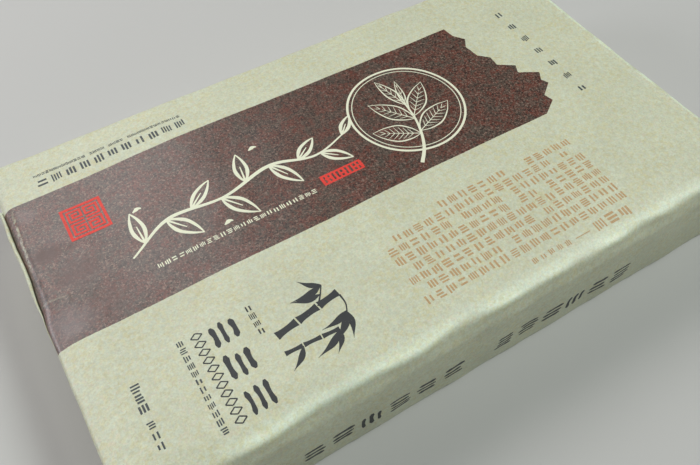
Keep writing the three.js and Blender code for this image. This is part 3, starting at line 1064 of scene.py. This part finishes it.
wrap_paper = wrap_material("wrap_paper_look", FIELD_STOP)
flap_paper = wrap_material("flap_paper_look", FLAP_STOP)
bare_paper = plain_paper("bare_paper_look", 0.0)
pale_print = plain_paper("pale_print_look", 0.8)
red_ink = ink_material("red_ink_look", INK_RED, brown_colour, 0.9)
black_ink = ink_material("black_ink_look", INK_BLACK, paper_colour, 0.25)
grey_ink = ink_material("grey_ink_look", INK_GREY, paper_colour, 0.5)
ochre_ink = ink_material("ochre_ink_look", INK_OCHRE, paper_colour, 0.6)

wrap = make_piece("paper_wrap", points, quads, wrap_paper)
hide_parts("wrapped_brick")
for end, (upper, lower) in zip(ENDS, flap_pairs):
    make_piece(f"{end['name']}_upper_flap", upper - shift, flap_quads, flap_paper)
    make_piece(f"{end['name']}_lower_flap", lower - shift, flap_quads, bare_paper)

tree = BVHTree.FromPolygons(points.tolist(), quads.tolist())
drawings = [  # each piece of print is named after the function that draws it
    (medallion, pale_print),
    (branch, pale_print),
    (pale_row, pale_print),
    (red_fret, red_ink),
    (red_oblong, red_ink),
    (bamboo, black_ink),
    (ink_signs, black_ink),
    (grey_rows, grey_ink),
    (ochre_block, ochre_ink),
    (side_signs, black_ink),
]
for drawing, ink in drawings:
    side = "near" if drawing is side_signs else "top"
    print_on(f"print_{drawing.__name__}", tree, drawing, ink, side)


# ------------ floor, light and camera
FLOOR_SIZE = 6.0  # metres
FLOOR_COLOURS = [(0.55, 0.55, 0.54, 1), (0.59, 0.59, 0.58, 1)]
FLOOR_CLOUD = 333.3  # millimetres
FLOOR_ROUGHNESS = 0.9
FLOOR_FADE = (550, 1400)  # how far out the floor gives way to the backdrop
BACKDROP = (0.52, 0.52, 0.51, 1)
DAYLIGHT = (0.95, 1.0, 1.0, 1.0)
DAYLIGHT_STRENGTH = 0.03
LIGHT_TARGET = (-0.02, 0, 0.02)
SOFTBOXES = [  # name, place, width and height, watts, colour
    ("back_strip", (-0.3, 0.75, 0.89), (0.95, 0.5), 6.5, (1.0, 0.96, 0.95)),
    ("low_left_softbox", (-0.9, 0.5, 0.4), (0.4, 0.4), 3.6, (0.97, 0.96, 1.0)),
    ("side_softbox", (0.88, -0.5, 1.48), (0.55, 0.55), 17.7, (0.95, 1.0, 0.96)),
]


def soft_floor():
    """A pale floor that runs out into the backdrop without a horizon."""
    n = Nodes("floor_look")
    inputs = n.shader.inputs
    cloud = n.add("TexNoise", {"Vector": n.where, "Scale": 1 / FLOOR_CLOUD})
    n.set(inputs["Base Color"], n.mix(cloud, *FLOOR_COLOURS))
    n.set(inputs["Roughness"], FLOOR_ROUGHNESS)
    distance = n.add("VectorMath", {0: n.where}, output=1, operation="LENGTH")
    n.set(inputs["Alpha"], n.ramp(distance, *FLOOR_FADE, 1.0, 0.0))
    bpy.ops.mesh.primitive_plane_add(size=FLOOR_SIZE)
    floor = bpy.context.object
    floor.name = "floor"
    floor.data.materials.append(n.material)


def soft_light(name, place, size, power, colour):
    """A softbox of the given width and height that faces the pack."""
    data = bpy.data.lights.new(name, "AREA")
    data.shape, data.energy, data.color = "RECTANGLE", power, colour
    data.size, data.size_y = size
    light = bpy.data.objects.new(name, data)
    bpy.context.scene.collection.objects.link(light)
    light.location = place
    aim = Vector(LIGHT_TARGET) - Vector(place)
    light.rotation_euler = aim.to_track_quat("-Z", "Y").to_euler()


def daylight():
    """Weak light from all round. The backdrop that shows behind the pack is brighter than it."""
    world = bpy.data.worlds.new("soft_room")
    world.use_nodes = True
    tree = world.node_tree
    around = tree.nodes["Background"]
    around.inputs["Color"].default_value = DAYLIGHT
    around.inputs["Strength"].default_value = DAYLIGHT_STRENGTH
    backdrop = tree.nodes.new("ShaderNodeBackground")
    backdrop.inputs["Color"].default_value = BACKDROP
    seen = tree.nodes.new("ShaderNodeLightPath").outputs["Is Camera Ray"]
    either = tree.nodes.new("ShaderNodeMixShader")
    for start, end in ((seen, 0), (around.outputs[0], 1), (backdrop.outputs[0], 2)):
        tree.links.new(start, either.inputs[end])
    tree.links.new(either.outputs[0], tree.nodes["World Output"].inputs["Surface"])
    bpy.context.scene.world = world


IMAGE_WIDTH, FOCAL_PIXELS, SENSOR = 700, 715.15, 36.0
CAMERA_PLACE = (-102.55, -149.94, 243.26)
CAMERA_HEADING, CAMERA_DOWN, CAMERA_ROLL = 58.3145, 53.5178, -0.3748  # degrees
CLIP_START = 0.01  # metres


def place_camera():
    """The photograph's camera: its place, its direction and its roll about that direction."""
    heading, down, roll = (math.radians(a) for a in (CAMERA_HEADING, CAMERA_DOWN, CAMERA_ROLL))
    upright = math.pi / 2
    turn = (
        Matrix.Rotation(heading - upright, 4, "Z")
        @ Matrix.Rotation(upright - down, 4, "X")
        @ Matrix.Rotation(-roll, 4, "Z")
    )
    data = bpy.data.cameras.new("camera")
    data.sensor_width = SENSOR
    data.lens = FOCAL_PIXELS * SENSOR / IMAGE_WIDTH
    data.clip_start = CLIP_START
    camera = bpy.data.objects.new("camera", data)
    bpy.context.scene.collection.objects.link(camera)
    camera.matrix_world = Matrix.Translation(Vector(CAMERA_PLACE) * MM) @ turn
    bpy.context.scene.camera = camera


soft_floor()
daylight()
for softbox in SOFTBOXES:
    soft_light(*softbox)
place_camera()
bpy.context.scene.view_settings.view_transform = "Standard"
